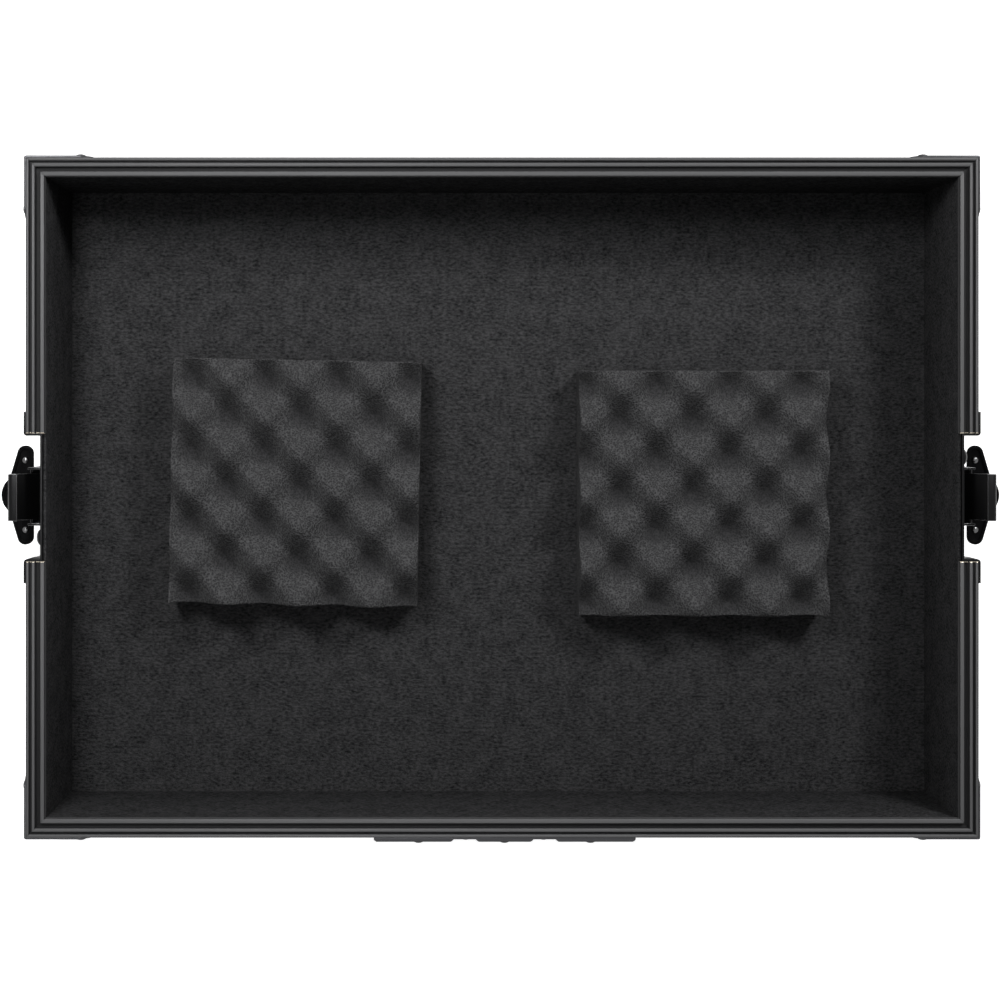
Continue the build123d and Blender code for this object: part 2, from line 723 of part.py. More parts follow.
def handle_bail():
    """Steel bail: two arms and a cross bar in one bend, with a spring barrel at each arm."""
    reach = bowl_length / 2 - barrel_gap - barrel_l / 2
    axis_z = rim_z - pivot_drop
    low = axis_z - bail_arm
    y = bowl_y - pivot_out
    angles = [radians(90 * number / bail_bend_runs) for number in range(bail_bend_runs + 1)]
    half = [(reach, axis_z - barrel_bore_r)]
    half += [(reach - bail_bend * (1 - cos(angle)), low + bail_bend * (1 - sin(angle))) for angle in angles]
    route = Polyline(*[(-x, y, z) for x, z in half], *[(x, y, z) for x, z in reversed(half)])
    section = Plane(origin=route @ 0, z_dir=route % 0) * RegularPolygon(bail_r, bail_sides)
    bail = sweep(section, path=route, transition=Transition.RIGHT)
    for sign in (-1, 1):
        bail += Pos(sign * reach, 0, 0) * pivot_bar(barrel_r, barrel_l)
    for sign in (-1, 1):
        hollow = Pos(sign * reach, 0, 0) * pivot_bar(barrel_bore_r, barrel_l - 2 * barrel_wall)
        bail -= hollow
    return bail - pivot_bar(pivot_pin_r + pivot_fit, bowl_length)


def handle_grip():
    """Rubber sleeve on the bail's cross bar, a little narrower at its middle."""
    half = grip_length / 2
    near = [(0, grip_waist_r), (grip_shoulder, grip_r), (half - grip_end_break, grip_r)]
    stations = near + [(half, grip_r - grip_end_break)]
    mirrored = [(-x, radius) for x, radius in reversed(stations[1:])]
    sleeve = Rot(0, 90, 0) * (turned(mirrored + stations, grip_sides) - Cylinder(bail_r, grip_length))
    return Pos(0, bowl_y - pivot_out, rim_z - pivot_drop - bail_arm) * sleeve


def make_handle():
    """Plate, pivot pin, springs, bail, grip and rivets, moved to their place on the front."""
    place = Pos(handle_x, 0, 0)
    reach = bowl_length / 2 - barrel_gap - barrel_l / 2
    spring_half = barrel_l / 2 - barrel_wall - spring_play
    spring_r = barrel_bore_r - spring_play
    sleeve = turned([(-spring_half, spring_r), (spring_half, spring_r)], spring_sides)
    spring = Pos(0, bowl_y - pivot_out, rim_z - pivot_drop) * Rot(0, 90, 0) * sleeve
    spring -= pivot_bar(pivot_pin_r + pivot_fit, barrel_l)
    springs = [Pos(sign * reach, 0, 0) * spring for sign in (-1, 1)]
    front = Vector(0, -1, 0)
    big = head(rivet_r, handle_rivet_h)
    small = head(small_rivet_r, small_rivet_h)
    top_row = rim_z - plate_drop - handle_rivet_drop
    heads = []
    for number in (-1, 0, 1):
        x = number * handle_rivet_pitch
        heads.append(facing(front, (x, -half_w - dish_t - pad_t, top_row)) * big)
        heads.append(facing(front, (x, -half_w, rim_z - plate_bottom + rivet_r + dish_t)) * small)
    for sign in (-1, 1):
        heads.append(facing(front, (sign * gap_rivet_pitch / 2, -half_w - dish_t, top_row)) * small)
    save("handle_plate", place * handle_plate())
    save("handle_pivot_pin", place * pivot_bar(pivot_pin_r, bowl_length + 2 * dish_t))
    save("handle_springs", place * Compound(springs))
    save("handle_bail", place * handle_bail())
    save("handle_grip", place * handle_grip())
    save("handle_rivets", place * Compound(heads))


# Egg-crate foam
def foam_height(x, y, phase):
    """Height of the egg-crate top over the floor: ridges along one diagonal, crossed by lower waves."""
    along = x - phase[0]
    across = y - phase[1]
    ridge = cos(2 * pi * (along + across) / foam_pitch)
    cross = cos(2 * pi * (along - across) / foam_pitch)
    return foam_mean - foam_swing * (foam_ridge_share * ridge + (1 - foam_ridge_share) * cross)


def foam_pad(phase):
    """A block whose top follows the two waves in flat facets, split along the ridges."""
    columns = round(foam_x / foam_step)
    rows = round(foam_y / foam_step)
    xs = [foam_x * (number / columns - 0.5) for number in range(columns + 1)]
    ys = [foam_y * (number / rows - 0.5) for number in range(rows + 1)]
    top = [[Vector(x, y, foam_height(x, y, phase)) for y in ys] for x in xs]
    facets = []
    for column in range(columns):
        for row in range(rows):
            near, right = top[column][row], top[column + 1][row]
            far, left = top[column + 1][row + 1], top[column][row + 1]
            facets += [(near, right, left), (right, far, left)]
    near_rim = [points[0] for points in top]
    far_rim = [points[-1] for points in reversed(top)]
    rims = [near_rim, top[-1], far_rim, list(reversed(top[0]))]
    feet = [Vector(rim[0].X, rim[0].Y, 0) for rim in rims]
    for number, rim in enumerate(rims):
        facets.append((feet[number], feet[(number + 1) % 4], *reversed(rim)))
    facets.append(tuple(reversed(feet)))
    return Solid(Shell([Face(Wire.make_polygon(points)) for points in facets]))


def make_foam():
    """Two pads on the floor, laid by hand, so not quite square to the tray."""
    stand = half_l - rail_w - foam_from_wall
    left_place = Pos(-stand, left_foam_y, floor_z) * Rot(0, 0, left_foam_turn)
    save("left_foam_pad", left_place * foam_pad(left_foam_phase))
    save("right_foam_pad", Pos(stand, right_foam_y, floor_z) * foam_pad(right_foam_phase))


os.makedirs("parts", exist_ok=True)
make_shell()
make_lining()
make_trim()
make_braces()
make_ball_corners()
make_case_rivets()
make_latches()
make_handle()
make_foam()
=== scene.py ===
"""The looks of one half of a flight case for a disc jockey's controller.

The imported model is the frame. Each sub-assembly is a class that builds its meshes round the
frame's nodes and dresses them, and each finish is a small class of its own. Lengths are in
metres, and a size that is easier to read in millimetres is multiplied by MM.
"""
from __future__ import annotations

import json
import logging
import math
from collections.abc import Iterable, Iterator
from dataclasses import dataclass, field, replace
from enum import Enum

import bmesh
import bpy
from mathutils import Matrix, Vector

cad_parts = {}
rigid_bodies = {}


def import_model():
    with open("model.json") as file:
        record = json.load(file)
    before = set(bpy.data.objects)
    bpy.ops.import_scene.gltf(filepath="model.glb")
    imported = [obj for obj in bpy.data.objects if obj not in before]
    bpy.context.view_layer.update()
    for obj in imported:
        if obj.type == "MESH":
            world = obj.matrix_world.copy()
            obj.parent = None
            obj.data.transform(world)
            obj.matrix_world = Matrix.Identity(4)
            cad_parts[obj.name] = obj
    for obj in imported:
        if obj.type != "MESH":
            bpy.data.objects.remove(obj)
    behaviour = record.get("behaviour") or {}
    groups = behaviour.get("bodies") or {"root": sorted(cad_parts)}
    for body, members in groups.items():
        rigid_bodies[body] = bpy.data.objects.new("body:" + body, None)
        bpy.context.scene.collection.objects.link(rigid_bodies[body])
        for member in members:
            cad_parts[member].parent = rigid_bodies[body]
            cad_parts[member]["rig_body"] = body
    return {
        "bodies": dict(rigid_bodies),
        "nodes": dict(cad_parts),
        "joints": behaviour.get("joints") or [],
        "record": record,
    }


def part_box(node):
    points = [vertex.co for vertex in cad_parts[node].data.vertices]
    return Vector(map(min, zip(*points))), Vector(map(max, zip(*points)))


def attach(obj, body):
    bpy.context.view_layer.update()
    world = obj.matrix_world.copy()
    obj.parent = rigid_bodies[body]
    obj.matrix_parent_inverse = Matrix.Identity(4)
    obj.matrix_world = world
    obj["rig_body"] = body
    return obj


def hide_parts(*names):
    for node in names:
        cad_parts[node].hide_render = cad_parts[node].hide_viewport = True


MM = 0.001
WHITE = "#ffffff"
WELD_MM = 0.002
FLAT_DEGREES = 0.5
BREAK_DEGREES = 32
SMOOTH_DEGREES = 40
DOME_DEGREES = 50
log = logging.getLogger("flight_case")


class Side(Enum):
    """The two ends of the case that carry a latch, with the way along X that each faces."""

    LEFT = -1
    RIGHT = 1

    @property
    def word(self) -> str:
        """The side's name, as the nodes are named."""
        return self.name.lower()


class Run(Enum):
    """The way that a length of extruded trim was drawn through its die."""

    ALONG_X = (1.0, 0.0, 0.0)
    ALONG_Y = (0.0, 1.0, 0.0)
    ALONG_Z = (0.0, 0.0, 1.0)


def linear(colour: str) -> tuple[float, float, float, float]:
    """Turn an sRGB hex colour into linear light.

    Args:
        colour: A colour such as "#1a2b3c".

    Returns:
        Red, green, blue and alpha for a shader's socket.
    """
    parts = [int(colour[start:start + 2], 16) / 255 for start in (1, 3, 5)]
    light = [part / 12.92 if part <= 0.04045 else ((part + 0.055) / 1.055) ** 2.4 for part in parts]
    return (*light, 1.0)


def add_node(
    tree: bpy.types.NodeTree,
    kind: str,
    inputs: dict[str | int, object] | None = None,
    **settings: object,
) -> bpy.types.Node:
    """Add a node to a tree, with its settings, values and links.

    Args:
        tree: A shader or geometry tree.
        kind: The node's type.
        inputs: For each input, by name or number, a value or the socket that it is linked to.
        settings: Properties of the node itself.

    Returns:
        The new node.
    """
    node = tree.nodes.new(kind)
    for name, value in settings.items():
        setattr(node, name, value)
    for name, value in (inputs or {}).items():
        if isinstance(value, bpy.types.NodeSocket):
            tree.links.new(value, node.inputs[name])
        else:
            node.inputs[name].default_value = value
    return node


# Finishes
@dataclass(frozen=True)
class Finish:
    """What every finish has: a name, two tones of its colour and its gloss."""

    name: str
    tone: str
    shade: str
    roughness: float
    metallic: float = 0.0
    specular: float = 0.5
    grain_mm: float = 1.0
    bump_mm: float = 0.05
    sheen: float = 0.0
    sheen_roughness: float = 0.5

    def pattern(self, tree: bpy.types.NodeTree, place: bpy.types.NodeSocket) -> bpy.types.NodeSocket:
        """Draw the surface's own pattern, from 0 in its hollows to 1 on its tops.

        Args:
            tree: The material's tree.
            place: Object coordinates, in metres.

        Returns:
            The pattern's value.
        """
        noise = add_node(tree, "ShaderNodeTexNoise", {
            "Vector": place, "Scale": 1 / (self.grain_mm * MM), "Detail": 3.0, "Roughness": 0.6,
        })
        return noise.outputs["Fac"]

    def material(self) -> bpy.types.Material:
        """Build the material, or find it if it was built before.

        Returns:
            The material, named for the finish.
        """
        found = bpy.data.materials.get(self.name)
        if found:
            return found
        made = bpy.data.materials.new(self.name)
        made.use_nodes = True
        tree = made.node_tree
        tree.nodes.clear()
        place = add_node(tree, "ShaderNodeTexCoord").outputs["Object"]
        pattern = self.pattern(tree, place)
        mix = add_node(tree, "ShaderNodeMix", {
            "Factor": pattern, "A": linear(self.shade), "B": linear(self.tone),
        }, data_type="RGBA")
        bump = add_node(tree, "ShaderNodeBump", {"Height": pattern, "Distance": self.bump_mm * MM})
        shader = add_node(tree, "ShaderNodeBsdfPrincipled", {
            "Base Color": mix.outputs["Result"], "Roughness": self.roughness, "Metallic": self.metallic,
            "Specular IOR Level": self.specular, "Sheen Weight": self.sheen,
            "Sheen Roughness": self.sheen_roughness, "Normal": bump.outputs["Normal"],
        })
        add_node(tree, "ShaderNodeOutputMaterial", {"Surface": shader.outputs["BSDF"]})
        made.diffuse_color = linear(self.tone)
        return made


@dataclass(frozen=True)
class ExtrudedAnodised(Finish):
    """Extruded aluminium, black anodised: drawn lines along the bar, and a dull metallic gloss."""

    run: Run = Run.ALONG_X
    line_mm: float = 0.5
    line_length_mm: float = 60.0

    def pattern(self, tree: bpy.types.NodeTree, place: bpy.types.NodeSocket) -> bpy.types.NodeSocket:
        """Draw long lines along the way that the bar was drawn, wider than real ones so that they show.

        Args:
            tree: The material's tree.
            place: Object coordinates, in metres.

        Returns:
            The pattern's value.
        """
        scale = [1 / ((self.line_length_mm if along else self.line_mm) * MM) for along in self.run.value]
        stretched = add_node(tree, "ShaderNodeMapping", {"Vector": place, "Scale": scale})
        lines = add_node(tree, "ShaderNodeTexNoise", {
            "Vector": stretched.outputs["Vector"], "Scale": 1.0, "Detail": 2.0, "Roughness": 0.5,
        })
        return lines.outputs["Fac"]


@dataclass(frozen=True)
class NeedledFelt(Finish):
    """Needled polyester felt: short crossed fibres, slightly drawn along the roll, with no gloss."""

    nap_mm: float = 9.0
    nap_share: float = 0.18
    roll_stretch: float = 0.55
    contrast: tuple[float, float] = (0.36, 0.64)

    def pattern(self, tree: bpy.types.NodeTree, place: bpy.types.NodeSocket) -> bpy.types.NodeSocket:
        """Draw fibre noise, coarser than real fibres so that it shows, over a faint unevenness of the nap.

        Args:
            tree: The material's tree.
            place: Object coordinates, in metres.

        Returns:
            The pattern's value.
        """
        fibre = 1 / (self.grain_mm * MM)
        roll = add_node(tree, "ShaderNodeMapping", {
            "Vector": place, "Scale": (self.roll_stretch * fibre, fibre, fibre),
        })
        fine = add_node(tree, "ShaderNodeTexNoise", {
            "Vector": roll.outputs["Vector"], "Scale": 1.0, "Detail": 4.0, "Roughness": 0.75,
        })
        broad = add_node(tree, "ShaderNodeTexNoise", {
            "Vector": place, "Scale": 1 / (self.nap_mm * MM), "Detail": 2.0,
        })
        both = add_node(tree, "ShaderNodeMix", {
            "Factor": self.nap_share, "A": fine.outputs["Fac"], "B": broad.outputs["Fac"],
        })
        sharp = add_node(tree, "ShaderNodeMapRange", {
            "Value": both.outputs["Result"], "From Min": self.contrast[0], "From Max": self.contrast[1],
        })
        return sharp.outputs["Result"]


@dataclass(frozen=True)
class OpenCellFoam(Finish):
    """Open-cell polyurethane foam: pits of about a millimetre that drink the light.

    The pad's mesh carries the attribute "hollow", from 0 on a peak to 1 at the bottom of a dimple,
    by which the material paints shade: the foam is drawn darker towards a dimple's bottom.
    """

    wall_reach: tuple[float, float] = (0.1, 0.75)
    hollow_from: float = 0.6
    hollow_share: float = 0.65

    def pattern(self, tree: bpy.types.NodeTree, place: bpy.types.NodeSocket) -> bpy.types.NodeSocket:
        """Draw round cells with bright walls between them, with painted shade in the hollows.

        Args:
            tree: The material's tree.
            place: Object coordinates, in metres.

        Returns:
            The pattern's value.
        """
        cells = add_node(tree, "ShaderNodeTexVoronoi", {
            "Vector": place, "Scale": 1 / (self.grain_mm * MM), "Randomness": 1.0,
        })
        walls = add_node(tree, "ShaderNodeMapRange", {
            "Value": cells.outputs["Distance"],
            "From Min": self.wall_reach[0], "From Max": self.wall_reach[1],
        })
        hollow = add_node(tree, "ShaderNodeAttribute", attribute_name="hollow").outputs["Fac"]
        # Painted shade: the colour darkens towards the bottom of each dimple.
        dimple_shade = add_node(tree, "ShaderNodeMapRange", {
            "Value": hollow, "From Min": self.hollow_from, "From Max": 1.0,
            "To Min": 1.0, "To Max": 1.0 - self.hollow_share,
        }, interpolation_type="SMOOTHSTEP")
        both = add_node(tree, "ShaderNodeMath", {
            0: walls.outputs["Result"], 1: dimple_shade.outputs["Result"],
        }, operation="MULTIPLY")
        return both.outputs[0]


# Needled polyester felt: crossed fibres scatter all light, so it is dead matt, with a blotchy 1.5 mm grain.
BLACK_FELT = NeedledFelt(
    "needled_felt_black", "#454546", "#19191a", roughness=1.0, specular=0.0, grain_mm=1.5, bump_mm=0.35,
)
# Polyurethane foam, cut between rollers: opened cells of about 1.2 mm swallow the light; dimples get painted
# shade.
FOAM = OpenCellFoam(
    "polyurethane_foam_charcoal", "#4b4b4c", "#232324", roughness=1.0, specular=0.0, grain_mm=1.2,
    bump_mm=0.4, sheen=0.02, sheen_roughness=0.7,
)
# Extruded aluminium, anodised black and rubbed to a dull grey on its lands, with drawn lines along the bar.
RAIL_X = ExtrudedAnodised(
    "anodised_aluminium_along_x", "#59595a", "#4a4a4b", roughness=0.5, metallic=0.12, specular=0.2,
    bump_mm=0.01,
)
RAIL_Y = replace(RAIL_X, name="anodised_aluminium_along_y", run=Run.ALONG_Y)
RAIL_Z = replace(RAIL_X, name="anodised_aluminium_along_z", run=Run.ALONG_Z)
# Painted shade in the grooves: their faces take a matt black anodising, darker than the lands.
GROOVE = Finish(
    "anodised_aluminium_unworn", "#2a2a2b", "#1e1e1f", roughness=0.6, specular=0.1, bump_mm=0.01,
)
# Sawn aluminium: bare, bright and slightly warm, with the saw's marks across it.
RAW_CUT = Finish(
    "raw_sawn_aluminium", "#e2d8c6", "#a39a8c", roughness=0.28, metallic=1.0, grain_mm=0.6, bump_mm=0.03,
)
# Phenolic laminate on plywood, pressed with a fine texture: near black, with a broad soft gloss.
LAMINATE = Finish(
    "textured_laminate_black", "#18181a", "#0f0f10", roughness=0.45, specular=0.3, grain_mm=1.4,
    bump_mm=0.12,
)
# Deep-drawn steel, blackened and lacquered: a dark metal whose gloss shows its drawn curves.
PRESSED = Finish(
    "coated_pressed_steel", "#4a4a4c", "#3c3c3e", roughness=0.4, metallic=1.0, grain_mm=0.8, bump_mm=0.02,
)
# Stamped steel with black chromate: nearly black, with a faint metallic gloss.
LATCH_STEEL = Finish(
    "black_chromated_steel", "#0f0f10", "#080809", roughness=0.4, metallic=0.8, grain_mm=1.5, bump_mm=0.02,
)
# Stoved enamel on stamped steel: the blackest piece, with hardly any gloss on its flats.
WING_STEEL = Finish(
    "black_enamelled_steel", "#0a0a0b", "#050506", roughness=0.4, specular=0.025, grain_mm=1.5, bump_mm=0.02,
)
# Where handling has rubbed an edge, steel shows as a dull grey line; on all broken edges it is also a painted
# highlight.
EDGE_STEEL = Finish(
    "worn_steel_edge", "#5a5a5b", "#3a3a3b", roughness=0.35, metallic=1.0, grain_mm=1.2, bump_mm=0.02,
)
# Bright bare steel on the wing's pressed dimples, as a painted highlight on each dome.
DIMPLE_HIGHLIGHT_STEEL = Finish(
    "thumb_rubbed_steel", "#7a7a7a", "#3c3c3e", roughness=0.25, metallic=1.0, grain_mm=0.9, bump_mm=0.04,
)
# Blackened steel rivet: a dark dome with one small highlight.
RIVET_STEEL = Finish(
    "black_rivet_steel", "#2a2a2b", "#161617", roughness=0.35, metallic=1.0, grain_mm=1.0, bump_mm=0.01,
)
# Zinc-plated turned steel: a plain bright grey.
PIN_STEEL = Finish(
    "bright_zinc_steel", "#8c8c88", "#6e6e6a", roughness=0.3, metallic=1.0, grain_mm=2.0, bump_mm=0.01,
)
# Moulded rubber: black and dull, with a fine skin.
GRIP = Finish(
    "moulded_rubber_black", "#1d1d1d", "#141414", roughness=0.7, specular=0.3, grain_mm=0.7, bump_mm=0.05,
)


# Shared steps of mesh work
@dataclass
class Case:
    """The frame and what every sub-assembly needs from it."""

    frame: dict
    made: list[bpy.types.Object] = field(default_factory=list)

    def body(self, node: str) -> str:
        """The body that a node rides on."""
        return self.frame["nodes"][node]["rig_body"]

    def dress(self, node: str, finish: Finish) -> None:
        """Give a node that keeps its own mesh its finish.

        Args:
            node: The node.
            finish: Its finish.
        """
        mesh = self.frame["nodes"][node].data
        mesh.materials.clear()
        mesh.materials.append(finish.material())
        log.info("%s keeps its mesh, in %s", node, finish.name)

    def keep(self, piece: bpy.types.Object, node: str) -> bpy.types.Object:
        """Let a finished piece stand for its node, with that node's body.

        Args:
            piece: The finished piece, at the origin.
            node: The node that it stands for.

        Returns:
            The same piece.
        """
        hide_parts(node)
        log.info("%s stands for %s", piece.name, node)
        return self.add_to(piece, node)

    def add_to(self, piece: bpy.types.Object, node: str) -> bpy.types.Object:
        """Let an added piece ride with a node.

        Args:
            piece: The finished piece, at the origin.
            node: The node that carries it.

        Returns:
            The same piece.
        """
        slots = {row["node"]: row["material_slot"] for row in self.frame["record"]["subparts"]}
        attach(piece, self.body(node))
        self.made.append(piece)
        return piece


def new_object(name: str, mesh: bpy.types.Mesh, finish: Finish | None = None) -> bpy.types.Object:
    """Link a new object at the origin for a mesh.

    Args:
        name: The object's name.
        mesh: Its mesh, which takes the same name.
        finish: The finish of the whole mesh, if it has one.

    Returns:
        The new object.
    """
    mesh.name = name
    made = bpy.data.objects.new(name, mesh)
    bpy.context.scene.collection.objects.link(made)
    if finish:
        mesh.materials.clear()
        mesh.materials.append(finish.material())
    return made


def frozen(made: bpy.types.Object) -> bpy.types.Object:
    """Turn what an object's modifiers make into its own plain mesh, and take them off.

    Args:
        made: The object, with its modifiers live.

    Returns:
        The same object.
    """
    bpy.context.view_layer.update()
    graph = bpy.context.evaluated_depsgraph_get()
    mesh = bpy.data.meshes.new_from_object(made.evaluated_get(graph), depsgraph=graph)
    made.modifiers.clear()
    made.data = mesh
    mesh.name = made.name
    return made


def soften(mesh: bpy.types.Mesh, sharp_degrees: float) -> None:
    """Shade a mesh smooth, with a crease where its faces turn by more than an angle."""
    mesh.shade_smooth()
    mesh.set_sharp_from_angle(angle=math.radians(sharp_degrees))


def whole_faces(mesh: bpy.types.Mesh) -> bmesh.types.BMesh:
    """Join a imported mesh's loose triangles, and make its flat faces whole.

    Args:
        mesh: The mesh, which stays as it is.

    Returns:
        The joined form, which the caller frees.
    """
    form = bmesh.new()
    form.from_mesh(mesh)
    bmesh.ops.remove_doubles(form, verts=form.verts, dist=WELD_MM * MM)
    bmesh.ops.dissolve_limit(
        form, angle_limit=math.radians(FLAT_DEGREES), verts=form.verts, edges=form.edges,
    )
    return form


def merged_copy(case: Case, node: str, name: str) -> bpy.types.Object:
    """Copy a node with its loose triangles joined and its flat faces made whole.

    Args:
        case: The frame.
        node: The node to copy.
        name: The copy's name.

    Returns:
        The copy, at the origin.
    """
    form = whole_faces(case.frame["nodes"][node].data)
    mesh = bpy.data.meshes.new(name)
    form.to_mesh(mesh)
    form.free()
    for left_over in [layer.name for layer in mesh.attributes if "normal" in layer.name]:
        mesh.attributes.remove(mesh.attributes[left_over])
    return new_object(name, mesh)


def saw_end(
    mesh: bpy.types.Mesh,
    sawn_y: float,
    burr_mm: float = 0.8,
    filed_depth_mm: float = 3.2,
    cut_mm: float = 0.02,
) -> None:
    """Bare the metal where a bar was sawn off, and file its upper edges.

    Args:
        mesh: The bar's mesh, whose second material is the bare metal.
        sawn_y: The plane of the cut.
        burr_mm: How wide the filed edge is.
        filed_depth_mm: How far down from the top the file reached.
        cut_mm: How far from the plane a point still lies in the cut.
    """
    form = bmesh.new()
    form.from_mesh(mesh)
    top = max(vertex.co.z for vertex in form.verts)
    at_cut = {vertex for vertex in form.verts if abs(vertex.co.y - sawn_y) < cut_mm * MM}
    for face in form.faces:
        if all(vertex in at_cut for vertex in face.verts):
            face.material_index = 1
    filed = [
        edge for edge in form.edges
        if all(vertex in at_cut and vertex.co.z > top - filed_depth_mm * MM for vertex in edge.verts)
        and abs(edge.verts[0].co.x - edge.verts[1].co.x) > burr_mm * MM
    ]
    bmesh.ops.bevel(form, geom=filed, offset=burr_mm * MM, offset_type="OFFSET", segments=1, profile=0.5,
                    affect="EDGES", material=1, clamp_overlap=True)
    form.to_mesh(mesh)
    form.free()


def rounded_copy(
    case: Case,
    node: str,
    finish: Finish,
    round_mm: float,
    edge_finish: Finish | None = None,
    sawn_y: float | None = None,
) -> bpy.types.Object:
    """Replace a node by a copy whose edges are broken, as a real edge is.

    Args:
        case: The frame.
        node: The node to replace.
        finish: The copy's finish.
        round_mm: How wide the broken edge is.
        edge_finish: The finish of the broken edges and of a sawn end, where it isn't the copy's own.
        sawn_y: Where the bar was sawn off square to Y, if it was.

    Returns:
        The copy.
    """
    copy = merged_copy(case, node, f"{node}_dressed")
    copy.data.materials.append(finish.material())
    if edge_finish:
        copy.data.materials.append(edge_finish.material())
    if sawn_y is not None:
        saw_end(copy.data, sawn_y)
    bevel = copy.modifiers.new("Broken edges", "BEVEL")
    bevel.limit_method = "ANGLE"
    bevel.angle_limit = math.radians(BREAK_DEGREES)
    bevel.width = round_mm * MM
    bevel.segments = 2
    bevel.use_clamp_overlap = True
    # The broken edges take the second finish: on latch steel, wear and a painted highlight.
    if edge_finish and sawn_y is None:
        bevel.material = 1
    frozen(copy)
    soften(copy.data, SMOOTH_DEGREES)
    return case.keep(copy, node)


def blacken_grooves(rail: bpy.types.Object, deepest_mm: float = 3.3, lands_mm: float = 0.3) -> None:
    """Paint shade into the grooves in a rail's top, with a darker finish on their faces.

    Args:
        rail: The rail, whose own finish is its first material.
        deepest_mm: How far under the lands the grooves reach, at most.
        lands_mm: How far under the lands a broken edge reaches.
    """
    mesh = rail.data
    mesh.materials.append(GROOVE.material())
    groove_index = len(mesh.materials) - 1
    top = max(vertex.co.z for vertex in mesh.vertices)
    for face in mesh.polygons:
        lowest = min(mesh.vertices[corner].co.z for corner in face.vertices)
        in_groove = lowest > top - deepest_mm * MM and face.center.z < top - lands_mm * MM
        # Painted shade: the faces inside a groove take the darker finish.
        if face.material_index == 0 and in_groove:
            face.material_index = groove_index


def modifier_from(
    tree: bpy.types.NodeTree, made: bpy.types.Object, values: dict[str, object]
) -> bpy.types.Object:
    """Run a geometry tree on an object and keep the plain mesh.

    Args:
        tree: The geometry tree, with named inputs.
        made: The object whose mesh goes in.
        values: Each input's value, by its name.

    Returns:
        The same object, with its new mesh.
    """
    modifier = made.modifiers.new(tree.name, "NODES")
    modifier.node_group = tree
    for item in tree.interface.items_tree:
        if item.item_type == "SOCKET" and item.in_out == "INPUT" and item.name in values:
            modifier[item.identifier] = values[item.name]
    return frozen(made)


def new_tree(name: str, inputs: dict[str, str]) -> tuple[bpy.types.NodeTree, bpy.types.Node]:
    """Start a geometry tree with named inputs.

    Args:
        name: The tree's name.
        inputs: For each input, its name and its socket type.

    Returns:
        The tree and its group input node.
    """
    tree = bpy.data.node_groups.new(name, "GeometryNodeTree")
    tree.interface.new_socket(name="Geometry", in_out="OUTPUT", socket_type="NodeSocketGeometry")
    tree.interface.new_socket(name="Geometry", in_out="INPUT", socket_type="NodeSocketGeometry")
    for socket, kind in inputs.items():
        tree.interface.new_socket(name=socket, in_out="INPUT", socket_type=kind)
    return tree, add_node(tree, "NodeGroupInput")


# Foam
SocketPair = tuple[bpy.types.NodeSocket, bpy.types.NodeSocket]


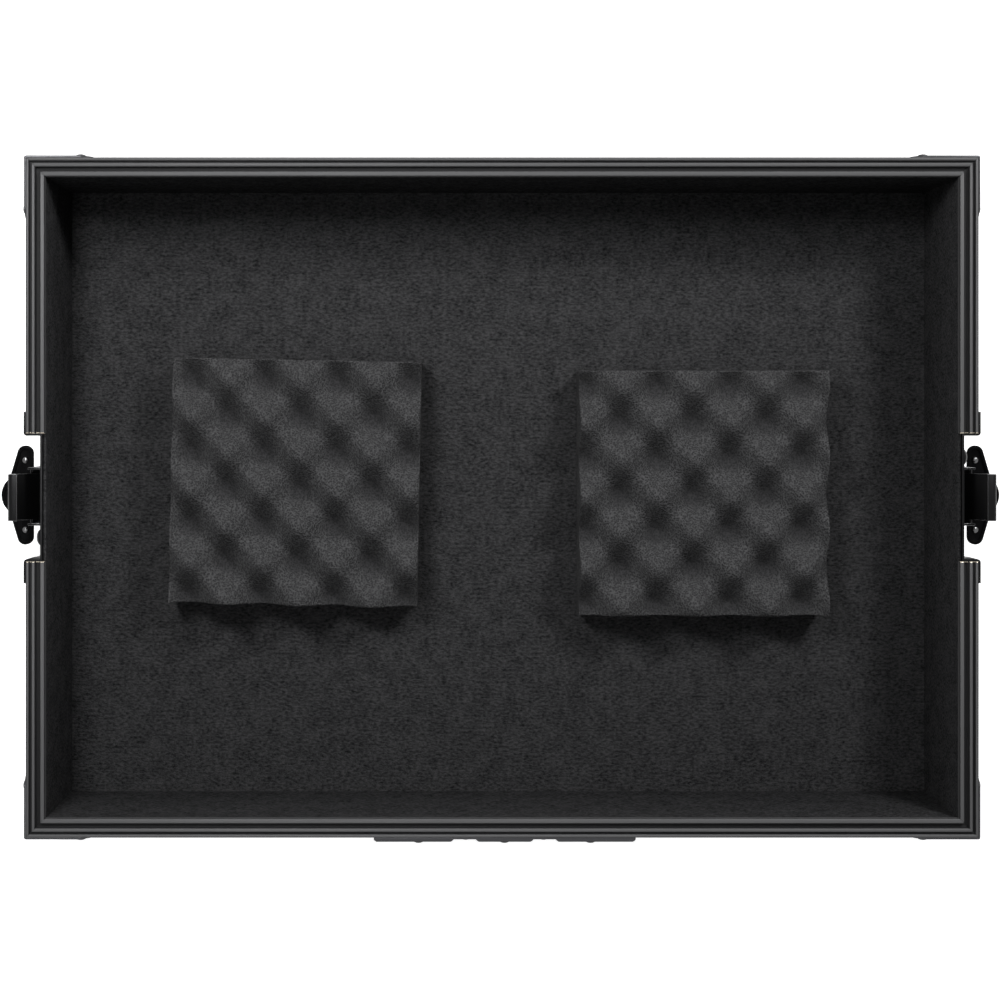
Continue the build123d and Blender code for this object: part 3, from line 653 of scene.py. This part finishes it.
@dataclass
class FoamPad:
    """A convoluted foam pad: a block whose top is two crossed waves.

    The deeper wave has ridge_share of the swing, and grain_mm is the mesh's own grid.
    """

    case: Case
    node: str
    turn_degrees: float
    phase_mm: tuple[float, float]
    length_mm: float = 152.0
    width_mm: float = 150.0
    mean_mm: float = 30.0
    swing_mm: float = 10.0
    pitch_mm: float = 44.6
    ridge_share: float = 0.57
    grain_mm: float = 1.0
    pore_mm: float = 0.22
    seed: int = 7

    def tree(self) -> bpy.types.NodeTree:
        """Build the tree that waves and roughens the block.

        Returns:
            The tree, built once for both pads.
        """
        found = bpy.data.node_groups.get("Convoluted foam")
        if found:
            return found
        tree, given = new_tree("Convoluted foam", {
            "Length": "NodeSocketFloat", "Width": "NodeSocketFloat", "Mean": "NodeSocketFloat",
            "Swing": "NodeSocketFloat", "Pitch": "NodeSocketFloat", "Ridge Share": "NodeSocketFloat",
            "Phase": "NodeSocketVector", "Grain": "NodeSocketFloat", "Pore": "NodeSocketFloat",
            "Place": "NodeSocketVector", "Turn": "NodeSocketRotation", "Seed": "NodeSocketInt",
            "Material": "NodeSocketMaterial",
        })
        block, place = self.flat_block(tree, given)
        wave = self.crossed_waves(tree, given, place)
        waved = self.raised_top(tree, given, block, place, wave)
        pitted = self.open_pores(tree, given, waved)
        # The hollow is what the foam's material paints its shade by.
        hollow = add_node(tree, "ShaderNodeMath", {0: wave, 1: 0.5, 2: 0.5}, operation="MULTIPLY_ADD")
        marked = add_node(tree, "GeometryNodeStoreNamedAttribute", {
            "Geometry": pitted, "Name": "hollow", "Value": hollow.outputs[0],
        }, data_type="FLOAT", domain="POINT")
        laid = add_node(tree, "GeometryNodeTransform", {
            "Geometry": marked.outputs[0], "Translation": given.outputs["Place"],
            "Rotation": given.outputs["Turn"],
        })
        dressed = add_node(tree, "GeometryNodeSetMaterial", {
            "Geometry": laid.outputs[0], "Material": given.outputs["Material"],
        })
        add_node(tree, "NodeGroupOutput", {0: dressed.outputs[0]})
        return tree

    @staticmethod
    def flat_block(tree: bpy.types.NodeTree, given: bpy.types.Node) -> SocketPair:
        """Make a finely divided block one metre high, and note where each of its points lies.

        Args:
            tree: The pad's tree.
            given: Its group input node.

        Returns:
            The block, and each point's first place.
        """
        counts = [
            add_node(tree, "ShaderNodeMath", {0: given.outputs[size], 1: given.outputs["Grain"]},
                     operation="DIVIDE").outputs[0]
            for size in ("Length", "Width", "Mean")
        ]
        size = add_node(tree, "ShaderNodeCombineXYZ", {
            "X": given.outputs["Length"], "Y": given.outputs["Width"], "Z": 1.0,
        })
        cube = add_node(tree, "GeometryNodeMeshCube", {
            "Size": size.outputs[0],
            "Vertices X": counts[0], "Vertices Y": counts[1], "Vertices Z": counts[2],
        })
        block = add_node(tree, "GeometryNodeStoreNamedAttribute", {
            "Geometry": cube.outputs["Mesh"], "Name": "flat place",
            "Value": add_node(tree, "GeometryNodeInputPosition").outputs[0],
        }, data_type="FLOAT_VECTOR", domain="POINT")
        place = add_node(tree, "GeometryNodeInputNamedAttribute", {"Name": "flat place"},
                         data_type="FLOAT_VECTOR")
        return block.outputs[0], place.outputs["Attribute"]

    @staticmethod
    def crossed_waves(
        tree: bpy.types.NodeTree, given: bpy.types.Node, place: bpy.types.NodeSocket
    ) -> bpy.types.NodeSocket:
        """Cross two waves on the diagonals, one deeper than the other.

        Args:
            tree: The pad's tree.
            given: Its group input node.
            place: Each point's first place.

        Returns:
            The wave, from -1 on a peak to 1 at the bottom of a dimple.
        """
        shifted = add_node(tree, "ShaderNodeVectorMath", {0: place, 1: given.outputs["Phase"]},
                           operation="SUBTRACT").outputs[0]
        waves = []
        for way in ((1.0, 1.0, 0.0), (1.0, -1.0, 0.0)):
            run = add_node(tree, "ShaderNodeVectorMath", {0: shifted, 1: way}, operation="DOT_PRODUCT")
            turns = add_node(tree, "ShaderNodeMath", {0: run.outputs["Value"], 1: given.outputs["Pitch"]},
                             operation="DIVIDE")
            angle = add_node(tree, "ShaderNodeMath", {0: turns.outputs[0], 1: math.tau}, operation="MULTIPLY")
            wave = add_node(tree, "ShaderNodeMath", {0: angle.outputs[0]}, operation="COSINE")
            waves.append(wave.outputs[0])
        return add_node(tree, "ShaderNodeMix", {
            "Factor": given.outputs["Ridge Share"], "A": waves[1], "B": waves[0],
        }).outputs["Result"]

    @staticmethod
    def raised_top(
        tree: bpy.types.NodeTree,
        given: bpy.types.Node,
        block: bpy.types.NodeSocket,
        place: bpy.types.NodeSocket,
        wave: bpy.types.NodeSocket,
    ) -> bpy.types.NodeSocket:
        """Draw the block's height down to the foam's own, which the wave sets.

        Args:
            tree: The pad's tree.
            given: Its group input node.
            block: The block.
            place: Each point's first place.
            wave: The wave at each point.

        Returns:
            The waved block, with its foot at zero.
        """
        dip = add_node(tree, "ShaderNodeMath", {0: wave, 1: given.outputs["Swing"]}, operation="MULTIPLY")
        top = add_node(tree, "ShaderNodeMath", {0: given.outputs["Mean"], 1: dip.outputs[0]},
                       operation="SUBTRACT").outputs[0]
        axes = add_node(tree, "ShaderNodeSeparateXYZ", {0: place})
        share = add_node(tree, "ShaderNodeMath", {0: axes.outputs["Z"], 1: 0.5}, operation="ADD").outputs[0]
        height = add_node(tree, "ShaderNodeMath", {0: share, 1: top}, operation="MULTIPLY").outputs[0]
        moved = add_node(tree, "ShaderNodeCombineXYZ", {
            "X": axes.outputs["X"], "Y": axes.outputs["Y"], "Z": height,
        })
        return add_node(tree, "GeometryNodeSetPosition", {
            "Geometry": block, "Position": moved.outputs[0],
        }).outputs[0]

    @staticmethod
    def open_pores(
        tree: bpy.types.NodeTree, given: bpy.types.Node, waved: bpy.types.NodeSocket
    ) -> bpy.types.NodeSocket:
        """Push each point in by a little, at random, as the cut opened the foam's cells.

        Args:
            tree: The pad's tree.
            given: Its group input node.
            waved: The waved block.

        Returns:
            The pitted block.
        """
        inward = add_node(tree, "ShaderNodeMath", {0: given.outputs["Pore"], 1: -1.0}, operation="MULTIPLY")
        depth = add_node(tree, "FunctionNodeRandomValue", {
            "Min": inward.outputs[0], "Max": 0.0, "Seed": given.outputs["Seed"],
        }, data_type="FLOAT")
        normal = add_node(tree, "GeometryNodeInputNormal").outputs[0]
        pit = add_node(tree, "ShaderNodeVectorMath", {0: normal, "Scale": depth.outputs["Value"]},
                       operation="SCALE")
        return add_node(tree, "GeometryNodeSetPosition", {
            "Geometry": waved, "Offset": pit.outputs[0],
        }).outputs[0]

    def build(self) -> bpy.types.Object:
        """Returns:
            The pad.
        """
        low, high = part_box(self.node)
        middle = (low + high) / 2
        pad = new_object(f"{self.node}_foam", bpy.data.meshes.new(self.node))
        modifier_from(self.tree(), pad, {
            "Length": self.length_mm * MM, "Width": self.width_mm * MM, "Mean": self.mean_mm * MM,
            "Swing": self.swing_mm * MM, "Pitch": self.pitch_mm * MM, "Ridge Share": self.ridge_share,
            "Phase": (self.phase_mm[0] * MM, self.phase_mm[1] * MM, 0.0), "Grain": self.grain_mm * MM,
            "Pore": self.pore_mm * MM, "Place": (middle.x, middle.y, low.z),
            "Turn": (0.0, 0.0, math.radians(self.turn_degrees)), "Seed": self.seed,
            "Material": FOAM.material(),
        })
        pad.data.shade_smooth()
        self.case.keep(pad, self.node)
        return pad


# Rivets
Seat = tuple[Vector, Vector, float, float]


def head_tree(crown: float = 0.02) -> bpy.types.NodeTree:
    """Build the tree that puts a domed head on each seat.

    Args:
        crown: The square of the flat crown's share of the radius.

    Returns:
        The tree, built once for all rivets.
    """
    found = bpy.data.node_groups.get("Rivet heads")
    if found:
        return found
    tree, given = new_tree("Rivet heads", {
        "Ring Points": "NodeSocketInt", "Rings": "NodeSocketInt", "Material": "NodeSocketMaterial",
    })
    drum = add_node(tree, "GeometryNodeMeshCylinder", {
        "Vertices": given.outputs["Ring Points"], "Side Segments": given.outputs["Rings"],
        "Fill Segments": 1, "Radius": 1.0, "Depth": 1.0,
    })
    place = add_node(tree, "GeometryNodeInputPosition").outputs[0]
    axes = add_node(tree, "ShaderNodeSeparateXYZ", {0: place})
    rise = add_node(tree, "ShaderNodeMath", {0: axes.outputs["Z"], 1: 0.5}, operation="ADD").outputs[0]
    square = add_node(tree, "ShaderNodeMath", {0: rise, 1: 2.0}, operation="POWER").outputs[0]
    left_over = add_node(tree, "ShaderNodeMath", {0: 1.0 + crown, 1: square},
                         operation="SUBTRACT").outputs[0]
    reach = add_node(tree, "ShaderNodeMath", {0: left_over, 1: 0.5}, operation="POWER").outputs[0]
    drawn = [
        add_node(tree, "ShaderNodeMath", {0: axes.outputs[way], 1: reach}, operation="MULTIPLY").outputs[0]
        for way in ("X", "Y")
    ]
    moved = add_node(tree, "ShaderNodeCombineXYZ", {"X": drawn[0], "Y": drawn[1], "Z": rise})
    head = add_node(tree, "GeometryNodeSetPosition", {
        "Geometry": drum.outputs["Mesh"], "Position": moved.outputs[0],
    })
    axis = add_node(tree, "GeometryNodeInputNamedAttribute", {"Name": "axis"}, data_type="FLOAT_VECTOR")
    size = add_node(tree, "GeometryNodeInputNamedAttribute", {"Name": "size"}, data_type="FLOAT_VECTOR")
    turn = add_node(tree, "FunctionNodeAlignRotationToVector", {"Vector": axis.outputs["Attribute"]},
                    axis="Z")
    spread = add_node(tree, "GeometryNodeInstanceOnPoints", {
        "Points": given.outputs["Geometry"], "Instance": head.outputs[0], "Rotation": turn.outputs[0],
        "Scale": size.outputs["Attribute"],
    })
    real = add_node(tree, "GeometryNodeRealizeInstances", {0: spread.outputs[0]})
    dressed = add_node(tree, "GeometryNodeSetMaterial", {
        "Geometry": real.outputs[0], "Material": given.outputs["Material"],
    })
    add_node(tree, "NodeGroupOutput", {0: dressed.outputs[0]})
    return tree


def domed_heads(
    name: str, seats: list[Seat], finish: Finish, ring_points: int = 24, rings: int = 7
) -> bpy.types.Object:
    """Put a domed head on each seat.

    Args:
        name: The piece's name.
        seats: For each head, the middle of its foot, its axis, its radius and its height.
        finish: The heads' finish.
        ring_points: How many sides each head has.
        rings: How many bands the dome has.

    Returns:
        One piece with every head.
    """
    points = bpy.data.meshes.new(f"{name}_seats")
    points.from_pydata([seat[0] for seat in seats], [], [])
    axes = points.attributes.new("axis", "FLOAT_VECTOR", "POINT")
    axes.data.foreach_set("vector", [part for seat in seats for part in seat[1]])
    sizes = points.attributes.new("size", "FLOAT_VECTOR", "POINT")
    sizes.data.foreach_set("vector", [part for seat in seats for part in (seat[2], seat[2], seat[3])])
    heads = new_object(name, points)
    modifier_from(head_tree(), heads, {
        "Ring Points": ring_points, "Rings": rings, "Material": finish.material(),
    })
    soften(heads.data, DOME_DEGREES)
    return heads


def islands(form: bmesh.types.BMesh) -> Iterator[set[bmesh.types.BMVert]]:
    """Part a form into the pieces that hang together.

    Args:
        form: The form, whose vertices are joined.

    Yields:
        The vertices of each piece.
    """
    left = set(form.verts)
    while left:
        island = set()
        edge_of_search = [left.pop()]
        while edge_of_search:
            vertex = edge_of_search.pop()
            island.add(vertex)
            near = [link.other_vert(vertex) for link in vertex.link_edges]
            edge_of_search += [other for other in near if other in left]
            left.difference_update(near)
        yield island


@dataclass
class RivetHeads:
    """The heads of one node's rivets, as low domes on the seats that the node gives."""

    case: Case
    node: str
    finish: Finish
    sort_decimals: int = 5

    def seats(self) -> list[Seat]:
        """Find each rivet's seat in the node's mesh.

        Returns:
            The seats, in order of place.
        """
        form = whole_faces(self.case.frame["nodes"][self.node].data)
        rows = []
        for island in islands(form):
            faces = {face for vertex in island for face in vertex.link_faces}
            base = max(faces, key=lambda face: face.calc_area())
            axis = -base.normal
            middle = base.calc_center_median()
            radius = max((vertex.co - middle).length for vertex in base.verts)
            height = max((vertex.co - middle).dot(axis) for vertex in island)
            rows.append((middle.copy(), axis.copy(), radius, height))
        form.free()
        rows.sort(key=lambda row: tuple(round(part, self.sort_decimals) for part in row[0]))
        return rows

    def build(self) -> bpy.types.Object:
        """Put the heads on their seats.

        Returns:
            One piece with every head of the node.
        """
        heads = domed_heads(f"{self.node}_domed", self.seats(), self.finish)
        return self.case.keep(heads, self.node)


# Tray
@dataclass
class Tray:
    """The wooden shell with its laminate face, and the felt inside it."""

    case: Case
    felt_round_mm: float = 0.8

    def build(self) -> None:
        """Dress the panels, and lay the felt on them."""
        for place in ("floor", "front", "rear", "left", "right"):
            self.case.dress(f"{place}_panel", LAMINATE)
            self.lay_felt(place)

    def lay_felt(self, place: str) -> None:
        """Args:
            place: The panel that it lies on.
        """
        node = f"{place}_lining"
        felt = rounded_copy(self.case, node, BLACK_FELT, self.felt_round_mm)


# Metal edges and corners
@dataclass
class Trim:
    """Rim rails, edge angles, upright angles, braces and ball corners, with their rivets."""

    case: Case
    edge_mm: float = 0.2
    corners: tuple[str, ...] = ("rear_right", "rear_left", "front_right", "front_left")

    def build(self) -> None:
        """Dress every metal edge and corner."""
        for side, finish in (("front", RAIL_X), ("rear", RAIL_X), ("left", RAIL_Y), ("right", RAIL_Y)):
            rounded_copy(self.case, f"{side}_edge_angle", finish, self.edge_mm)
        for side in ("front", "rear"):
            blacken_grooves(rounded_copy(self.case, f"{side}_rim_rail", RAIL_X, self.edge_mm))
        for side in Side:
            for end in ("front", "rear"):
                node = f"{side.word}_{end}_rim_rail"
                low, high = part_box(node)
                sawn_y = high.y if end == "front" else low.y
                blacken_grooves(rounded_copy(self.case, node, RAIL_Y, self.edge_mm, RAW_CUT, sawn_y))
        for corner in self.corners:
            rounded_copy(self.case, f"{corner}_corner_angle", RAIL_Z, self.edge_mm)
            rounded_copy(self.case, f"{corner}_brace", PRESSED, self.edge_mm)
            rounded_copy(self.case, f"{corner}_ball_corner", PRESSED, self.edge_mm)
        for node in ("trim_rivets", "brace_rivets", "ball_corner_rivets"):
            RivetHeads(self.case, node, RIVET_STEEL).build()


# Latches
@dataclass
class Latch:
    """One butterfly latch in its dish."""

    case: Case
    side: Side
    edge_mm: float = 0.25
    pin_edge_mm: float = 0.1
    dimple_in_mm: float = 14.2
    dimple_along_mm: float = 21.0
    dimple_radius_mm: float = 2.1
    dimple_height_mm: float = 1.1
    sheet_mm: float = 1.5

    def node(self, piece: str) -> str:
        """The name of this latch's node for a piece."""
        return f"{self.side.word}_{piece}"

    def build(self) -> None:
        """Dress the dish and every piece in it."""
        rounded_copy(self.case, self.node("latch_dish"), LATCH_STEEL, self.edge_mm, EDGE_STEEL)
        for piece in ("latch_bracket", "latch_hook", "latch_spindle"):
            rounded_copy(self.case, self.node(piece), LATCH_STEEL, self.edge_mm, EDGE_STEEL)
        rounded_copy(self.case, self.node("latch_wing"), WING_STEEL, self.edge_mm)
        rounded_copy(self.case, self.node("wing_pin"), PIN_STEEL, self.pin_edge_mm)
        self.press_dimples()
        RivetHeads(self.case, self.node("locating_stud"), LATCH_STEEL).build()
        RivetHeads(self.case, self.node("latch_rivets"), RIVET_STEEL).build()

    def press_dimples(self) -> None:
        """Round off the wing's two pressed dimples, with a painted highlight of bright steel on each."""
        low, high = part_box(self.node("latch_wing"))
        out = self.side.value
        x = (high.x if out > 0 else low.x) - out * self.dimple_in_mm * MM
        z = low.z + self.sheet_mm * MM
        rows = [
            (Vector((x, along * self.dimple_along_mm * MM, z)), Vector((0, 0, 1)), self.dimple_radius_mm * MM,
             self.dimple_height_mm * MM)
            for along in (-1, 1)
        ]
        # Painted highlight: the domes are bright steel on the black wing.
        dimples = domed_heads(self.node("wing_dimples"), rows, DIMPLE_HIGHLIGHT_STEEL)
        self.case.add_to(dimples, self.node("latch_wing"))


# Handle
@dataclass
class Handle:
    """The sprung handle on the front."""

    case: Case
    plate_edge_mm: float = 0.25
    pin_edge_mm: float = 0.1
    spring_edge_mm: float = 0.05
    bail_edge_mm: float = 0.15
    grip_edge_mm: float = 0.2

    def build(self) -> None:
        """Dress the plate and what it carries."""
        rounded_copy(self.case, "handle_plate", PRESSED, self.plate_edge_mm)
        rounded_copy(self.case, "handle_pivot_pin", PIN_STEEL, self.pin_edge_mm)
        rounded_copy(self.case, "handle_springs", PIN_STEEL, self.spring_edge_mm)
        rounded_copy(self.case, "handle_bail", LATCH_STEEL, self.bail_edge_mm)
        rounded_copy(self.case, "handle_grip", GRIP, self.grip_edge_mm)
        RivetHeads(self.case, "handle_rivets", RIVET_STEEL).build()


# Studio
@dataclass(frozen=True)
class Softbox:
    """One soft lamp of the studio."""

    name: str
    place: tuple[float, float, float]
    size: tuple[float, float]
    watts: float

    def build(self) -> None:
        """Hang the lamp, turned towards the case."""
        data = bpy.data.lights.new(self.name, "AREA")
        data.shape = "RECTANGLE"
        data.size, data.size_y = self.size
        data.energy = self.watts
        lamp = bpy.data.objects.new(self.name, data)
        lamp.location = self.place
        lamp.rotation_euler = (-Vector(self.place)).to_track_quat("-Z", "Y").to_euler()
        bpy.context.scene.collection.objects.link(lamp)


@dataclass
class Studio:
    """A pale floor, soft lamps, and the camera straight over the tray, as in the photograph.

    px_per_m is the photograph's scale in the plane of the rim, over_rim the camera's height over
    that plane, axis_px where its axis meets the plane and middle_px where the tray's middle lies.
    """

    rim_z: float
    image_px: float = 1000.0
    px_per_m: float = 1715.0
    over_rim: float = 1.147
    axis_px: tuple[float, float] = (443.7, 419.0)
    middle_px: tuple[float, float] = (502.2, 497.5)
    sensor_mm: float = 36.0
    floor_size: float = 12.0
    lamps: tuple[Softbox, ...] = (
        Softbox("Left softbox", (-0.328, 0.373, 0.784), (0.12, 0.24), 4.4),
        Softbox("Right softbox", (0.596, 0.629, 0.871), (0.2, 0.2), 7.9),
        Softbox("Rear softbox", (-0.299, 0.781, 1.692), (0.5, 0.7), 1.6),
        Softbox("Left front softbox", (-0.305, -0.091, 0.933), (0.2, 0.2), 1.1),
    )
    room_light: float = 0.16
    paper: str = "#e8e8e8"
    paper_lift: float = 0.86

    def build(self) -> None:
        """Make the camera first, then the floor, the lamps and the room."""
        self.make_camera()
        self.make_floor()
        for lamp in self.lamps:
            lamp.build()
        self.make_room()
        bpy.context.scene.view_settings.view_transform = "Standard"

    def make_camera(self) -> None:
        """Put the camera over the point that the photograph's optical axis meets."""
        data = bpy.data.cameras.new("Camera")
        data.sensor_width = self.sensor_mm
        data.lens = self.sensor_mm * self.px_per_m * self.over_rim / self.image_px
        data.shift_x = 0.5 - self.axis_px[0] / self.image_px
        data.shift_y = self.axis_px[1] / self.image_px - 0.5
        camera = bpy.data.objects.new("Camera", data)
        camera.location = (
            (self.axis_px[0] - self.middle_px[0]) / self.px_per_m,
            (self.middle_px[1] - self.axis_px[1]) / self.px_per_m,
            self.rim_z + self.over_rim,
        )
        bpy.context.scene.collection.objects.link(camera)
        bpy.context.scene.camera = camera

    def make_floor(self) -> None:
        """Lay a pale floor that the camera and metal see as white, and that keeps the shadow."""
        half = self.floor_size / 2
        mesh = bpy.data.meshes.new("studio_floor")
        corners = [(-half, -half, 0), (half, -half, 0), (half, half, 0), (-half, half, 0)]
        mesh.from_pydata(corners, [], [(0, 1, 2, 3)])
        floor = new_object("studio_floor", mesh)
        paper = bpy.data.materials.new("white_paper")
        paper.use_nodes = True
        tree = paper.node_tree
        tree.nodes.clear()
        seen = self.seen_directly(tree)
        matte = add_node(tree, "ShaderNodeBsdfDiffuse", {"Color": linear(self.paper)})
        lift = add_node(tree, "ShaderNodeEmission", {"Color": linear(WHITE), "Strength": self.paper_lift})
        glow = add_node(tree, "ShaderNodeAddShader", {0: matte.outputs[0], 1: lift.outputs[0]})
        either = add_node(tree, "ShaderNodeMixShader", {0: seen, 1: matte.outputs[0], 2: glow.outputs[0]})
        add_node(tree, "ShaderNodeOutputMaterial", {"Surface": either.outputs[0]})
        mesh.materials.append(paper)

    @staticmethod
    def seen_directly(tree: bpy.types.NodeTree) -> bpy.types.NodeSocket:
        """Tell rays that see the background, straight or in metal or glass, from the rest.

        Args:
            tree: The tree of a background's material or of the room.

        Returns:
            A socket that is 1 for those rays.
        """
        path = add_node(tree, "ShaderNodeLightPath")
        straight = add_node(tree, "ShaderNodeMath", {
            0: path.outputs["Is Camera Ray"], 1: path.outputs["Is Glossy Ray"],
        }, operation="MAXIMUM")
        either = add_node(tree, "ShaderNodeMath", {
            0: straight.outputs[0], 1: path.outputs["Is Transmission Ray"],
        }, operation="MAXIMUM")
        return either.outputs[0]

    def make_room(self) -> None:
        """Fill the room with a little light from all round, and show it white behind the case."""
        world = bpy.data.worlds.new("Studio room")
        bpy.context.scene.world = world
        world.use_nodes = True
        tree = world.node_tree
        tree.nodes.clear()
        dim = add_node(tree, "ShaderNodeBackground", {"Color": linear(WHITE), "Strength": self.room_light})
        white = add_node(tree, "ShaderNodeBackground", {"Color": linear(WHITE), "Strength": 1.0})
        either = add_node(tree, "ShaderNodeMixShader", {
            0: self.seen_directly(tree), 1: dim.outputs[0], 2: white.outputs[0],
        })
        add_node(tree, "ShaderNodeOutputWorld", {"Surface": either.outputs[0]})


def main() -> None:
    """Build the studio and every sub-assembly, in order."""
    logging.basicConfig(level=logging.INFO, format="%(message)s")
    for left_over in list(bpy.data.objects):
        bpy.data.objects.remove(left_over)
    case = Case(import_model())
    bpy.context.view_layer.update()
    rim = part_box("rear_rim_rail")[1].z
    Studio(rim_z=rim).build()
    FoamPad(case, "left_foam_pad", turn_degrees=-1.1, phase_mm=(2.6, -4.6)).build()
    FoamPad(case, "right_foam_pad", turn_degrees=0.0, phase_mm=(-6.0, -1.9)).build()
    Tray(case).build()
    Trim(case).build()
    for side in Side:
        Latch(case, side).build()
    Handle(case).build()
    log.info("%d pieces made", len(case.made))


if __name__ == "__main__":
    main()
